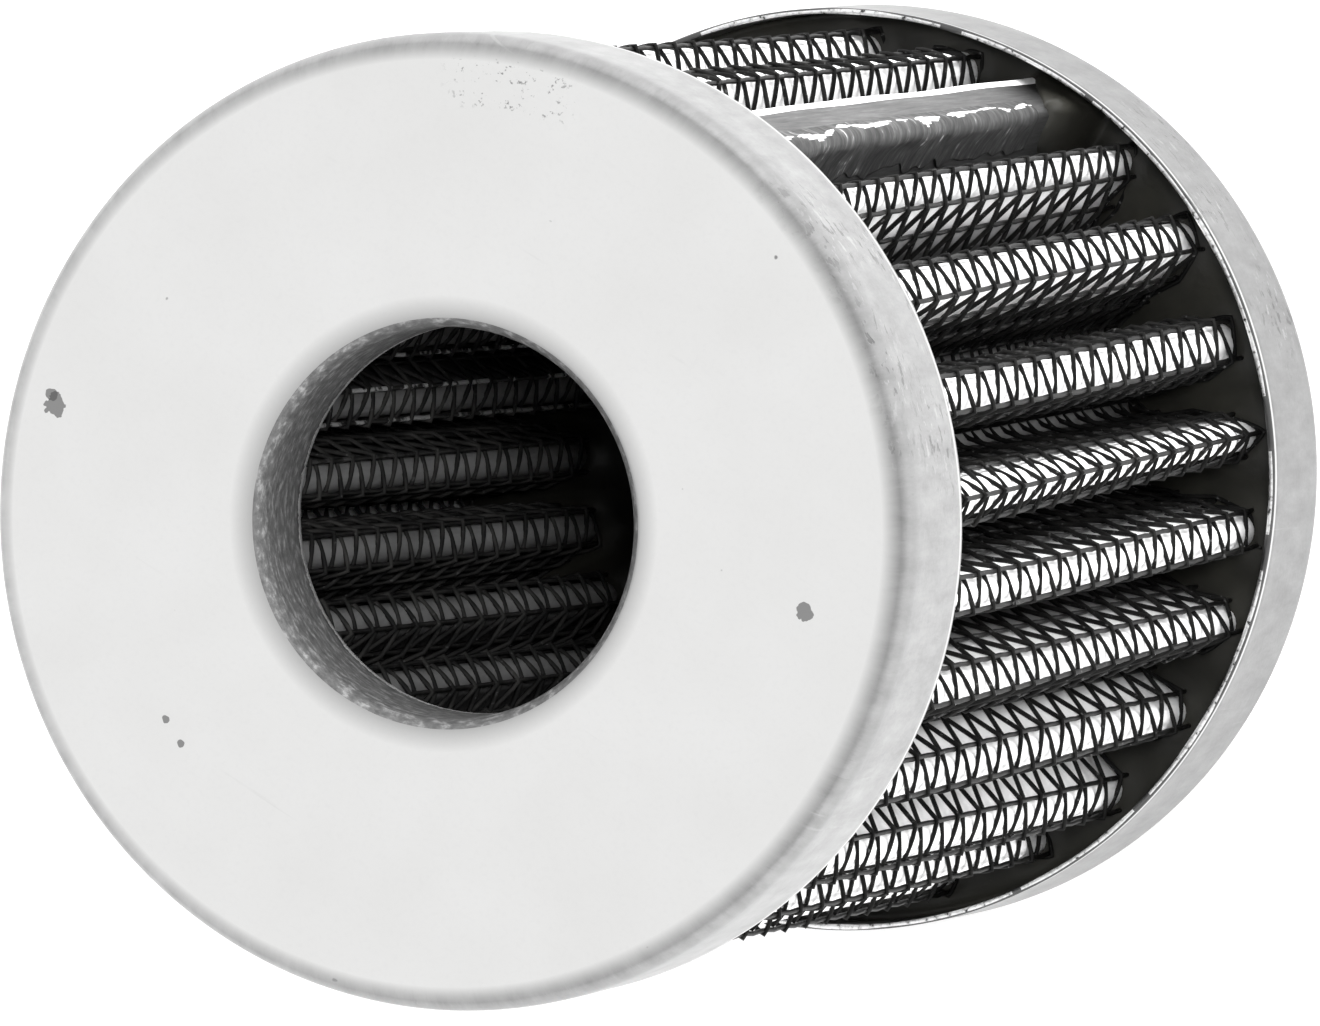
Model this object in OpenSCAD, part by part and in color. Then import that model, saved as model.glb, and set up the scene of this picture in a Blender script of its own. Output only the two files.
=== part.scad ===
// Fuel filter element: a pleated wire mesh pack between two pressed end caps.
// It stands on its rear cap, with +Z along its axis and the front cap on top.

/* [Overall] */
// Outside diameter of both end caps
outer_d = 45; // [43:0.5:55]
// Length over both end caps
length = 62; // [50:1:90]

/* [End caps] */
// Thickness of the pressed sheet
sheet = 0.3; // [0.25:0.05:0.5]
// Height of the rim that is turned back over the pack
rim_h = 8; // [7:0.25:12]
// Outer radius of the corner between face and rim
corner_r = 1.8; // [1:0.1:3]
// Diameter of the bore, inside its collar
bore_d = 18; // [12:0.5:22]
// Depth of the collar from the face of the cap
collar_h = 5.2; // [4:0.2:7]
// Outer radius of the bend from face to collar
bore_bend_r = 1.1; // [0.8:0.1:1.8]

/* [Potting] */
// Depth of the adhesive in each cap
potting_h = 4.5; // [3.5:0.25:6]
// How deep the ends of the pack stand in the adhesive
pack_embed = 2.4; // [1:0.2:3]

/* [Pleated pack] */
// Gap between the outer folds and the rim of the caps
crest_gap = 1.2; // [0.6:0.1:3]
// Depth of the pack from its outer folds to its inner folds
pleat_depth = 7.4; // [4.5:0.1:8.5]
// Distance from one outer fold to the next
fold_pitch = 5.1; // [4.3:0.05:6.5]
// Radius left open inside the tightest fold
fold_open = 0.2; // [0.04:0.02:0.3]
// Thickness of the filter media
media_t = 0.24; // [0.16:0.02:0.28]
// Gap between neighbouring layers of the pack
layer_gap = 0.03; // [0.02:0.01:0.04]

/* [Support mesh] */
// Thickness of the mesh wall
mesh_t = 0.3; // [0.2:0.02:0.32]
// Width of the ridge that each lengthwise wire makes
wire_w = 0.22; // [0.16:0.02:0.3]
// How far the lengthwise wires stand proud of the wall
wire_rise = 0.1; // [0.04:0.02:0.12]
// Distance between lengthwise wires, measured round the folds
wire_pitch = 2; // [1.6:0.05:2.2]
// Open rows along each fold
window_rows = 4; // [1:1:4]
// Solid bar left between two open rows
window_bar = 1.2; // [0.6:0.1:3]

/* [Side seam] */
// Thickness of the clip's sheet
clip_t = 0.3; // [0.2:0.05:0.4]
// How far the legs of the clip stop short of the inner folds
clip_short = 1.2; // [0.8:0.1:3]
// How far the clip's crest stands beyond the folds
clip_rise = 0.1; // [0:0.05:0.5]
// Outer radius of the clip's two bends
clip_bend_r = 0.45; // [0.35:0.05:0.6]
// Thickness of the sealant along the clip
sealant_t = 0.25; // [0.1:0.05:0.4]
// How far the sealant runs down the side of the clip
sealant_h = 1.5; // [0.8:0.1:2.5]
// Bare length of the clip at its rear end
sealant_short = 7; // [2:0.5:15]

/* [Hidden] */
$fn = 96;

// Clearance where the adhesive meets what it holds
seat = 0.03;
// How far a cut runs past the face it opens
overcut = 1;
// Seam towards -Y
seam_a = -90;

outer_r = outer_d / 2;
bore_r = bore_d / 2;
crest_r = outer_r - sheet - crest_gap;
root_r = crest_r - pleat_depth;

// Pleat places round the pack, one of them taken by the side seam
pleats = round(2 * PI * crest_r / fold_pitch);
pitch_a = 360 / pleats;
half_a = pitch_a / 2;

// Layer faces, as distances from the middle of the media
media_face = media_t / 2;
mesh_in = media_face + layer_gap;
mesh_out = mesh_in + mesh_t;
wire_out = mesh_out + wire_rise;
pocket_face = wire_out + seat;
clip_in = wire_out + seat;
clip_out = clip_in + clip_t;

// Folds: their radius at the middle of the media, and their centres
fold_r = pocket_face + fold_open;
crest_c = crest_r - fold_r - wire_out;
root_c = root_r + fold_r + wire_out;
root_u = root_c * cos(half_a);
root_v = root_c * sin(half_a);

// Each side of a pleat touches one outer and one inner fold
span_u = crest_c - root_u;
span = norm([span_u, root_v]);
flank_len = sqrt(span * span - 4 * fold_r * fold_r);
flank_a = atan2(root_v, span_u) - asin(2 * fold_r / span);
crest_half_a = 90 - flank_a;
root_half_a = 90 - flank_a - half_a;

// Heights
potting_top = sheet + seat + potting_h;
pack_z = potting_top - pack_embed;
pack_len = length - 2 * pack_z;
clear_z = potting_top;
clear_len = length - 2 * potting_top;

// Seam
clip_top = crest_r + clip_rise;
clip_foot = root_c + clip_short;
// Edge of the sealant on the crest of the clip, beside its middle
sealant_side = 0.3;
pack_end_u = clip_top - clip_t - seat;

// Steps of an arc of radius r: small arcs need fewer
function arc_steps(r) = r > 0.45 ? 6 : 2;
// Steps of the arcs of a pocket, which stays clear of the ribs inside it
pocket_steps = 10;

// Points of an arc round c, from angle a to angle b
function arc(c, r, a, b, steps) =
    [for (i = [0 : steps]) c + r * [cos(a + (b - a) * i / steps), sin(a + (b - a) * i / steps)]];

function turned(p, a) = [p[0] * cos(a) - p[1] * sin(a), p[0] * sin(a) + p[1] * cos(a)];
function turned_all(points, a) = [for (p = points) turned(p, a)];
function reversed(points) = [for (i = [len(points) - 1 : -1 : 0]) points[i]];
function flipped(points) = [for (p = reversed(points)) [p[0], -p[1]]];

// Places of the lengthwise wires, as path lengths from the middle of a fold
function wire_places(reach) = [for (s = [wire_pitch / 2 : wire_pitch : reach - wire_w]) s];

// A point of one half pleat, at path length s from the middle of its fold,
// rise above the face. The fold has radius r and turns through half_turn.
function half_point(c, r, half_turn, s, rise) =
    let (turn_len = r * half_turn * PI / 180)
    s <= turn_len
        ? let (a = s / turn_len * half_turn) c + (r + rise) * [cos(a), sin(a)]
        : c + (r + rise) * [cos(half_turn), sin(half_turn)]
            + (s - turn_len) * [-sin(half_turn), cos(half_turn)];

// Half a fold and its side, ribbed by the lengthwise wires
function ribbed_half(c, r, half_turn) =
    let (
        turn_len = r * half_turn * PI / 180,
        reach = turn_len + flank_len,
        places = wire_places(reach),
        top_in = places[0] - wire_w / 2
    )
    concat(
        [for (i = [0 : 2]) half_point(c, r, half_turn, top_in * i / 3, 0)],
        [for (s = places, e = [[-1, 0], [-1, 1], [1, 1], [1, 0]])
            half_point(c, r, half_turn, s + e[0] * wire_w / 2, e[1] * wire_rise)],
        [half_point(c, r, half_turn, reach, 0)]
    );

crest_centre = [crest_c, 0];

// One outer fold with both its sides, ribbed on the outside
function ribbed_crest() =
    let (half = ribbed_half(crest_centre, fold_r + mesh_out, crest_half_a))
    concat(flipped(half), [for (i = [1 : len(half) - 1]) half[i]]);

// One inner fold with both its sides, ribbed on the inside, in order of angle
function ribbed_root() =
    let (
        half = ribbed_half([-root_c, 0], fold_r + mesh_out, root_half_a),
        both = concat(flipped(half), [for (i = [1 : len(half) - 1]) half[i]])
    )
    reversed(turned_all(both, 180));

// A plain fold at distance d from the middle of the media
function crest_arc(d, steps) =
    arc(crest_centre, fold_r + d, -crest_half_a, crest_half_a, steps);
function root_arc(d, steps) =
    arc([root_c, 0], fold_r - d, 180 + root_half_a, 180 - root_half_a, steps);

// Sideways place of a pleat side at distance d from the media, u from the axis
function flank_v(d, u) = (fold_r + d - (u - crest_c) * cos(crest_half_a)) / sin(crest_half_a);

// A whole face of the pack, from the seam round to the seam, made of its folds
function face(d, crest, root) = concat(
    [[pack_end_u, flank_v(d, pack_end_u)]],
    [for (k = [0 : pleats - 1]) each concat(
        k > 0 ? turned_all(crest, k * pitch_a) : [],
        turned_all(root, k * pitch_a + half_a))],
    [[pack_end_u, -flank_v(d, pack_end_u)]]
);

// The mesh is ribbed on the face that shows: its crests outside, its roots inside
function plain_face(d) =
    face(d, crest_arc(d, arc_steps(fold_r + d)), root_arc(d, arc_steps(fold_r - d)));
function pocket_side(d) = face(d, crest_arc(d, pocket_steps), root_arc(d, pocket_steps));
function outer_face() =
    face(mesh_out, ribbed_crest(), root_arc(mesh_out, arc_steps(fold_r - mesh_out)));
function inner_face() =
    face(-mesh_out, crest_arc(-mesh_out, arc_steps(fold_r - mesh_out)), ribbed_root());

module layer(outside, inside) {
    rotate(seam_a)
        translate([0, 0, pack_z])
            linear_extrude(pack_len)
                polygon(concat(outside, reversed(inside)));
}

// Open rows between the two middle wires of each fold
module windows(first, last, turn, centre, way) {
    row = clear_len / window_rows;
    window_w = (wire_pitch - wire_w) * 0.8;
    for (k = [first : last], i = [0 : window_rows - 1])
        rotate(seam_a + k * pitch_a + turn)
            translate([centre + (way > 0 ? 0 : -2 * fold_r - wire_out), -window_w / 2,
                       clear_z + i * row + window_bar / 2])
                cube([2 * fold_r + wire_out, window_w, row - window_bar]);
}

module outer_support_mesh() {
    color("dimgray")
        difference() {
            layer(outer_face(), plain_face(mesh_in));
            windows(1, pleats - 1, 0, crest_c, 1);
        }
}

module filter_media() {
    color("whitesmoke")
        layer(plain_face(media_face), plain_face(-media_face));
}

module inner_support_mesh() {
    color("dimgray")
        difference() {
            layer(plain_face(-mesh_in), inner_face());
            windows(0, pleats - 1, half_a, root_c, -1);
        }
}

// Section of a pressed cap: depth from its face against radius
module cap_section() {
    turn_steps = 8;
    polygon(concat(
        arc([bore_r + bore_bend_r, bore_bend_r], bore_bend_r, 180, 270, turn_steps),
        arc([outer_r - corner_r, corner_r], corner_r, 270, 360, turn_steps),
        [[outer_r, rim_h], [outer_r - sheet, rim_h]],
        arc([outer_r - corner_r, corner_r], corner_r - sheet, 360, 270, turn_steps),
        arc([bore_r + bore_bend_r, bore_bend_r], bore_bend_r - sheet, 270, 180, turn_steps),
        [[bore_r + sheet, collar_h], [bore_r, collar_h]]
    ));
}

module end_cap() {
    color("gainsboro")
        rotate_extrude()
            cap_section();
}

module rear_end_cap() {
    end_cap();
}

module front_end_cap() {
    translate([0, 0, length])
        mirror([0, 0, 1])
            end_cap();
}

// Section of the adhesive, which fills the cap between collar and rim
module potting_section() {
    turn_steps = 8;
    gap = sheet + seat;
    polygon(concat(
        arc([bore_r + bore_bend_r, bore_bend_r], bore_bend_r - gap, 180, 270, turn_steps),
        arc([outer_r - corner_r, corner_r], corner_r - gap, 270, 360, turn_steps),
        [[outer_r - gap, potting_top], [bore_r + gap, potting_top]]
    ));
}

// Outline of the clip across the pack, grown by extra
module clip_outline(face_d, top, bend, foot) {
    side = [for (u = [foot, top - bend]) [u, flank_v(face_d, u)]];
    corner_v = flank_v(face_d, top - bend) - bend;
    bend_steps = 5;
    half = concat([side[0]], arc([top - bend, corner_v], bend, crest_half_a, 0, bend_steps));
    polygon(concat(half, flipped(half)));
}

// Room for the end of the pack and of its clip
module pack_pocket() {
    rotate(seam_a) {
        linear_extrude(pack_len)
            polygon(concat(pocket_side(pocket_face), reversed(pocket_side(-pocket_face))));
        linear_extrude(pack_len)
            clip_outline(clip_out + seat, clip_top + seat, clip_bend_r + seat, clip_foot - seat);
    }
}

module potting() {
    color([0.16, 0.16, 0.13])
        difference() {
            rotate_extrude()
                potting_section();
            translate([0, 0, pack_z - seat])
                pack_pocket();
        }
}

module rear_potting() {
    potting();
}

// The seam keeps its place, so this one is mirrored and not turned over
module front_potting() {
    translate([0, 0, length])
        mirror([0, 0, 1])
            potting();
}

// Folded strip over the two cut ends of the pack
module seam_clip() {
    color("silver")
        rotate(seam_a)
            translate([0, 0, pack_z])
                linear_extrude(pack_len)
                    difference() {
                        clip_outline(clip_out, clip_top, clip_bend_r, clip_foot);
                        clip_outline(clip_in, clip_top - clip_t, clip_bend_r - clip_t,
                                     clip_foot - overcut);
                    }
}

// Bead of sealant along the crest and one side of the clip
module seam_sealant() {
    skin = clip_out + seat;
    color("darkgray")
        rotate(seam_a)
            translate([0, 0, clear_z + sealant_short])
                linear_extrude(clear_len - sealant_short - seat)
                    difference() {
                        intersection() {
                            clip_outline(skin + sealant_t, clip_top + seat + sealant_t,
                                         clip_bend_r + seat + sealant_t, clip_foot);
                            translate([clip_top - sealant_h, -sealant_side - outer_r])
                                square(outer_r);
                        }
                        clip_outline(skin, clip_top + seat, clip_bend_r + seat,
                                     clip_foot - overcut);
                    }
}

front_end_cap();
rear_end_cap();
front_potting();
rear_potting();
outer_support_mesh();
filter_media();
inner_support_mesh();
seam_clip();
seam_sealant();
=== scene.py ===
"""Looks of a fuel filter element: a pleated, mesh-backed pack glued into two pressed caps."""
import math

import bpy
import numpy as np
from mathutils import Matrix, Vector


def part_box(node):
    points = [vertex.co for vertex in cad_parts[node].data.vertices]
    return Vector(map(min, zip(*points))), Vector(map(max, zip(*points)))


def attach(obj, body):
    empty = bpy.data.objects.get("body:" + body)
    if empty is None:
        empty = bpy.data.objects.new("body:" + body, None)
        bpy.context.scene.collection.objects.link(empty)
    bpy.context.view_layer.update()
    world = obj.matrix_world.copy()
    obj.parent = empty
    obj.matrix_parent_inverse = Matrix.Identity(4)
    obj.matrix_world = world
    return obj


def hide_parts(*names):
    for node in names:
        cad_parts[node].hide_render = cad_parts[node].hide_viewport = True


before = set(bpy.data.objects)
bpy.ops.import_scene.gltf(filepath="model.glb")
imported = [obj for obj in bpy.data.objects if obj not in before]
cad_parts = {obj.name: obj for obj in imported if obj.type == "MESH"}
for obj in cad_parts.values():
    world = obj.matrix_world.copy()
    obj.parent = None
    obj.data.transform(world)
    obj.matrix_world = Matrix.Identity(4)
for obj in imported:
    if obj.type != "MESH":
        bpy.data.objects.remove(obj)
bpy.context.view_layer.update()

# Sizes in millimetres, as in the part's source
MM = 0.001
OUTER_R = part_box("rear_end_cap")[1].x / MM
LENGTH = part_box("front_end_cap")[1].z / MM
RIM_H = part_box("rear_end_cap")[1].z / MM
POTTING_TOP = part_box("rear_potting")[1].z / MM
PACK_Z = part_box("filter_media")[0].z / MM
SHEET = 0.3
CORNER_R = 1.8
BORE_R = 9
BORE_BEND_R = 1.1
COLLAR_H = 5.2
SEAT = 0.03
CREST_R = 21.0
ROOT_R = 13.6
PLEATS = 26
WIRE_R = 0.125
WIRE_OUT = 0.55
FOLD_R = 0.78
CREST_C = CREST_R - FOLD_R - WIRE_OUT
ROOT_C = ROOT_R + FOLD_R + WIRE_OUT
MEDIA_FACE = 0.08
CLIP_TOP = 21.1
CLIP_FOOT = 16.13
CLIP_IN = 0.58
CLIP_T = 0.3
CLIP_BEND_R = 0.45
SEAM_A = math.radians(-90)

# The pleat's straight sides touch one outer and one inner fold
PITCH_A = 2 * math.pi / PLEATS
HALF_A = PITCH_A / 2
SPAN_U = CREST_C - ROOT_C * math.cos(HALF_A)
SPAN_V = ROOT_C * math.sin(HALF_A)
SPAN = math.hypot(SPAN_U, SPAN_V)
FLANK = math.sqrt(SPAN ** 2 - 4 * FOLD_R ** 2)
FLANK_A = math.atan2(SPAN_V, SPAN_U) - math.asin(2 * FOLD_R / SPAN)
CREST_TURN = math.pi / 2 - FLANK_A
ROOT_TURN = CREST_TURN - HALF_A

# The woven mesh: ring wires follow the pleats, lengthwise wires run between the caps
MESH_D = 0.42
CRIMP = 0.18
LENGTH_CRIMP = 0.04
RING_PITCH = 1.41
LENGTH_PITCH = 1.81
# How far a ring wire keeps straight between two crossings
STRAIGHT = 0.8
# How deep the wires go into the adhesive
DIP = 0.4

rng = np.random.default_rng(11)


def smooth_field(harmonics, waves, count=14):
    """A smooth random function of angle (radians) and height (mm), about 1 in size."""
    k = rng.integers(1, harmonics + 1, count)
    m = rng.uniform(-waves, waves, count)
    phase = rng.uniform(0, 2 * np.pi, count)
    size = rng.uniform(0.4, 1, count)
    size = size / np.sqrt((size ** 2).sum() / 2)

    def field(angle, z):
        total = np.zeros(np.broadcast(angle, z).shape)
        for i in range(count):
            total += size[i] * np.cos(k[i] * angle + m[i] * z / LENGTH * 2 * np.pi + phase[i])
        return total
    return field


def smoothstep(x):
    x = np.clip(x, 0, 1)
    return x * x * (3 - 2 * x)


bulge = smooth_field(20, 1.2)
sway = smooth_field(20, 1.0)
skew = smooth_field(5, 0.8)
ripple = smooth_field(24, 5.0)


# The pack is twisted by this much from its rear end to its front end, in degrees
TWIST = -3.9
# How far the outer folds lean round the axis (degrees) and stand out (mm), by place from the seam
LEANS = {0: 0, 1: -0.6, 2: 0.4, 4: 0.5, 7: -0.6, 10: 0.5, 13: -0.4, 16: 0.3, 18: -0.95, 19: -0.65,
         20: 0.7, 21: 0.1, 22: -0.6, 23: -1.2, 24: 0.9, 25: 1.7, 26: 0}
LIFTS = {0: 0, 1: 0.7, 2: 0.6, 4: 0.2, 7: 0.4, 10: 0.1, 13: 0.35, 16: 0.3, 18: 0.5, 19: 0.15,
         20: 0.35, 21: 0.1, 22: 0.1, 23: 0, 24: 0.35, 25: 0.6, 26: 0}
# Lengthwise wire nearest the middle of an outer fold, in mm of path
WIRE_AT = {1: -0.6, 2: -0.7, 18: 0, 19: 0.05, 20: 0, 21: -0.6, 22: 0.2, 23: -1.0, 24: -0.95, 25: -0.05}


def twist(z):
    return math.radians(TWIST) * (z / LENGTH - 0.5)


def unevenness(angle, r, table):
    """A value of one of the tables at a place in the pack, none at its inner folds or its seam."""
    depth = smoothstep((r - ROOT_R) / (CREST_R - ROOT_R))
    fold = np.mod(angle - SEAM_A, 2 * math.pi) / PITCH_A
    away = np.abs(np.angle(np.exp(1j * (angle - SEAM_A))))
    free = smoothstep((away - 0.6 * HALF_A) / (2.2 * HALF_A))
    return free * depth * np.interp(fold, list(table), list(table.values()))


def warp(points, wires=False):
    """Hand-made unevenness of the pack, least at the inner folds and at the seam."""
    x, y, z = points[..., 0], points[..., 1], points[..., 2]
    r = np.hypot(x, y)
    a = np.arctan2(y, x)
    depth = smoothstep((r - ROOT_R) / (CREST_R - ROOT_R))
    away = np.abs(np.angle(np.exp(1j * (a - SEAM_A))))
    free = smoothstep((away - 0.6 * HALF_A) / (2.2 * HALF_A))
    new_r = r + unevenness(a, r, LIFTS) + free * depth * 0.06 * bulge(a, z)
    new_a = a + np.radians(unevenness(a, r, LEANS)) + free * depth * 0.09 * sway(a, z) / CREST_R
    if wires:
        z = z + 0.2 * skew(a, z) + 0.05 * ripple(a, z)
    new_a = new_a + twist(z)
    return np.stack([new_r * np.cos(new_a), new_r * np.sin(new_a), z], -1)


def pleat_lengths(d):
    """Arc over an outer fold, arc into an inner fold and half a pleat, at offset d."""
    crest = (FOLD_R + d) * CREST_TURN
    root = (FOLD_R - d) * ROOT_TURN
    return crest, root, crest + FLANK + root


def pleat_points(path, off, d):
    """Points of the pleated wall at path lengths from the seam, off from the media's middle."""
    crest_len, _, half = pleat_lengths(d)
    k = np.floor(path / (2 * half) + 0.5)
    s = path - k * 2 * half
    t = np.abs(s)
    turn = t / (FOLD_R + d)
    u1 = CREST_C + (FOLD_R + off) * np.cos(turn)
    v1 = (FOLD_R + off) * np.sin(turn)
    x = t - crest_len
    u2 = CREST_C + (FOLD_R + off) * np.cos(CREST_TURN) - x * np.sin(CREST_TURN)
    v2 = (FOLD_R + off) * np.sin(CREST_TURN) + x * np.cos(CREST_TURN)
    back = (half - t) / (FOLD_R - d)
    e_r = -np.cos(back) * (FOLD_R - off)
    e_t = -np.sin(back) * (FOLD_R - off)
    u3 = (ROOT_C + e_r) * np.cos(HALF_A) - e_t * np.sin(HALF_A)
    v3 = (ROOT_C + e_r) * np.sin(HALF_A) + e_t * np.cos(HALF_A)
    on_crest = t <= crest_len
    on_flank = t <= crest_len + FLANK
    u = np.where(on_crest, u1, np.where(on_flank, u2, u3))
    v = np.where(on_crest, v1, np.where(on_flank, v2, v3)) * np.sign(s)
    a = SEAM_A + k * PITCH_A
    return u * np.cos(a) - v * np.sin(a), u * np.sin(a) + v * np.cos(a)


def mesh_object(name, verts, faces, material):
    """A mesh from points in mm and lists of equal-sized faces."""
    mesh = bpy.data.meshes.new(name)
    faces = [np.asarray(f) for f in faces if len(f)]
    mesh.vertices.add(len(verts))
    mesh.vertices.foreach_set("co", (np.asarray(verts, np.float32) * MM).ravel())
    index = np.concatenate([f.ravel() for f in faces]).astype(np.int32)
    sizes = np.concatenate([np.full(len(f), f.shape[1]) for f in faces])
    starts = np.concatenate([[0], np.cumsum(sizes)[:-1]]).astype(np.int32)
    mesh.loops.add(len(index))
    mesh.loops.foreach_set("vertex_index", index)
    mesh.polygons.add(len(sizes))
    mesh.polygons.foreach_set("loop_start", starts)
    mesh.update(calc_edges=True)
    mesh.validate()
    mesh.shade_smooth()
    obj = bpy.data.objects.new(name, mesh)
    bpy.context.scene.collection.objects.link(obj)
    mesh.materials.append(material)
    return obj


def piece(obj, slot, *nodes):
    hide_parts(*nodes)
    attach(obj, "root")
    return obj


def tubes(paths, side, radius, sides):
    """Round wires along paths (wire, point, 3), with side a direction across them."""
    along = np.gradient(paths, axis=1)
    along /= np.linalg.norm(along, axis=-1, keepdims=True)
    first = side - (side * along).sum(-1, keepdims=True) * along
    first /= np.linalg.norm(first, axis=-1, keepdims=True)
    second = np.cross(along, first)
    turn = np.arange(sides) * 2 * np.pi / sides
    ring = (first[:, :, None] * np.cos(turn)[:, None] + second[:, :, None] * np.sin(turn)[:, None])
    verts = paths[:, :, None] + radius * ring
    wires, points = paths.shape[:2]
    index = np.arange(wires * points * sides).reshape(wires, points, sides)
    a = index[:, :-1]
    b = index[:, 1:]
    quads = np.stack([a, np.roll(a, -1, 2), np.roll(b, -1, 2), b], -1).reshape(-1, 4)
    ends = np.concatenate([index[:, 0, ::-1], index[:, -1]])
    return verts.reshape(-1, 3), [quads, ends]


# Materials

def add(tree, kind, inputs=(), **settings):
    """A shader node; an input is a value or another node's socket."""
    node = tree.nodes.new(kind)
    for key, value in settings.items():
        setattr(node, key, value)
    for key, value in dict(inputs).items():
        if isinstance(value, bpy.types.NodeSocket):
            tree.links.new(value, node.inputs[key])
        else:
            node.inputs[key].default_value = value
    return node


def new_material(name, **sockets):
    material = bpy.data.materials.new(name)
    material.use_nodes = True
    tree = material.node_tree
    shader = tree.nodes["Principled BSDF"]
    for key, value in sockets.items():
        shader.inputs[key.replace("_", " ")].default_value = value
    return material, tree, shader


def grey(level, tint=(1, 1, 1)):
    return (level * tint[0], level * tint[1], level * tint[2], 1)


def place(tree, scale=(1, 1, 1), turn=(0, 0, 0)):
    """Object coordinates in millimetres, stretched."""
    coord = add(tree, "ShaderNodeTexCoord").outputs["Object"]
    factor = [s / MM for s in scale]
    return add(tree, "ShaderNodeMapping", {"Vector": coord, "Scale": factor, "Rotation": turn}).outputs[0]


def round_place(tree, across, along):
    """Angle as arc length at the rim, and height, in millimetres, stretched."""
    angle, _, height = cylindrical(tree)
    inputs = {0: times(tree, angle, OUTER_R * across), 1: times(tree, height, along / MM)}
    return add(tree, "ShaderNodeCombineXYZ", inputs).outputs[0]


def flat_place(tree):
    """Object coordinates in metres, with the height left out."""
    coord = add(tree, "ShaderNodeTexCoord").outputs["Object"]
    return add(tree, "ShaderNodeVectorMath", {0: coord, 1: (1, 1, 0)}, operation="MULTIPLY").outputs[0]


def cylindrical(tree):
    """Angle about the axis in radians, distance from it and height in metres."""
    coord = add(tree, "ShaderNodeTexCoord").outputs["Object"]
    split = add(tree, "ShaderNodeSeparateXYZ", {0: coord})
    angle = maths(tree, "ARCTAN2", split.outputs[1], split.outputs[0])
    radius = add(tree, "ShaderNodeVectorMath", {0: flat_place(tree)}, operation="LENGTH").outputs["Value"]
    return angle, radius, split.outputs[2]


def maths(tree, operation, a, b=0.0):
    return add(tree, "ShaderNodeMath", {0: a, 1: b}, operation=operation).outputs[0]


def times(tree, *values):
    product = values[0]
    for value in values[1:]:
        product = maths(tree, "MULTIPLY", product, value)
    return product


def noise(tree, vector, scale, detail=3.0, roughness=0.5, distortion=0.0):
    inputs = {"Vector": vector, "Scale": scale, "Detail": detail, "Roughness": roughness,
              "Distortion": distortion}
    return add(tree, "ShaderNodeTexNoise", inputs).outputs["Fac"]


def ramp(tree, factor, stops):
    node = add(tree, "ShaderNodeValToRGB", {"Fac": factor})
    elements = node.color_ramp.elements
    while len(elements) < len(stops):
        elements.new(0.5)
    for element, (position, colour) in zip(elements, stops):
        element.position = position
        element.color = grey(colour) if isinstance(colour, (int, float)) else colour
    return node.outputs["Color"]


def remap(tree, value, low, high, to_low=0.0, to_high=1.0):
    inputs = {0: value, 1: low, 2: high, 3: to_low, 4: to_high}
    return add(tree, "ShaderNodeMapRange", inputs).outputs[0]


def mix(tree, factor, a, b):
    return add(tree, "ShaderNodeMix", {0: factor, 6: a, 7: b}, data_type="RGBA").outputs[2]


def bump(tree, shader, height, distance, strength):
    inputs = {"Height": height, "Distance": distance * MM, "Strength": strength}
    tree.links.new(add(tree, "ShaderNodeBump", inputs).outputs[0], shader.inputs["Normal"])


def scratches(tree, scale, stretch, turn, low, high):
    """Thin scattered lines: long in one direction, kept only where a second noise allows."""
    lines = noise(tree, place(tree, (stretch, 1, stretch), turn), scale, 2.0, 0.5, 0.3)
    where = noise(tree, place(tree), 0.35, 2.0)
    thin = remap(tree, lines, low, high)
    return times(tree, thin, remap(tree, where, 0.5, 0.62))


def sector(tree, angle, centre, half):
    """1 at an angle about the axis (degrees), falling to 0 at half a width from it."""
    off = maths(tree, "ABSOLUTE", maths(tree, "SUBTRACT", angle, math.radians(centre)))
    return remap(tree, off, math.radians(half), math.radians(half * 0.6))


def band(tree, value, low, high, soft):
    """1 between two lengths in millimetres."""
    up = remap(tree, value, (low - soft) * MM, low * MM)
    down = remap(tree, value, (high + soft) * MM, high * MM)
    return times(tree, up, down)


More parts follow.
